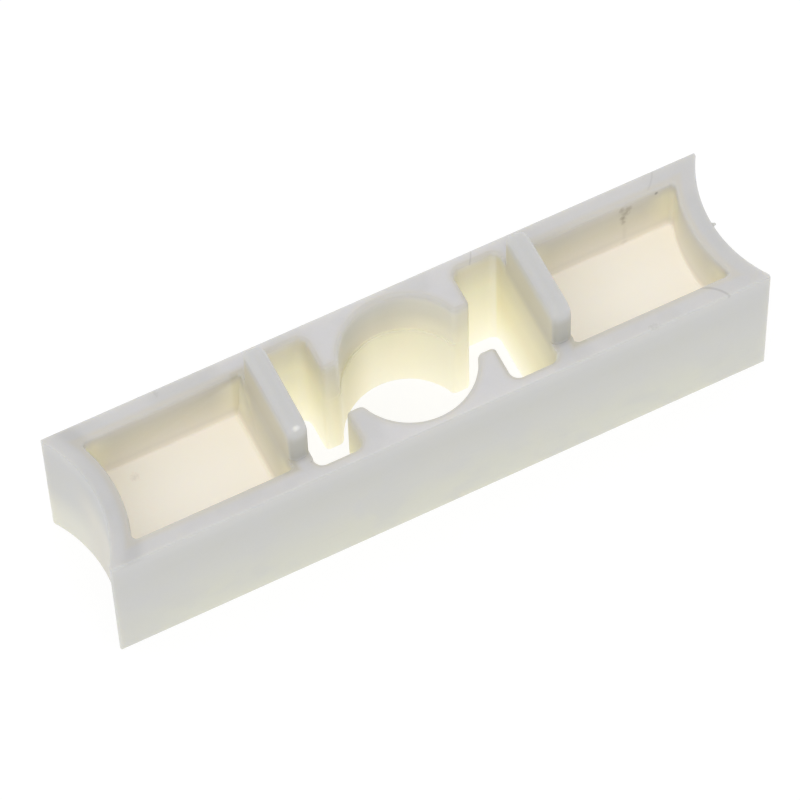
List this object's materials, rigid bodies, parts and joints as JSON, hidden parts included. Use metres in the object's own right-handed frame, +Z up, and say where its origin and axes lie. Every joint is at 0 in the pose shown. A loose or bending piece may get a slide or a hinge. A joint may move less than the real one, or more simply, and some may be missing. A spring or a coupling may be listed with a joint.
{
  "type": "sliding door guide",
  "caption": "Moulded plastic block that guides a sliding door along its track, with hollowed ends, blind pockets, cross slots joined to a centre opening, and upright tabs.",
  "frame": {"origin": "middle of the flat base, midway between the hollowed ends and the long sides", "axes": "+X along the block, +Y across it, +Z up through the centre opening towards the tabs"},
  "size_m": [0.1, 0.0226, 0.0316],
  "materials": {
    "natural_plastic": "as moulded, satin, slightly translucent natural white"
  },
  "bodies": {
    "root": {"guide_block": "natural_plastic"}
  },
  "joints": []
}
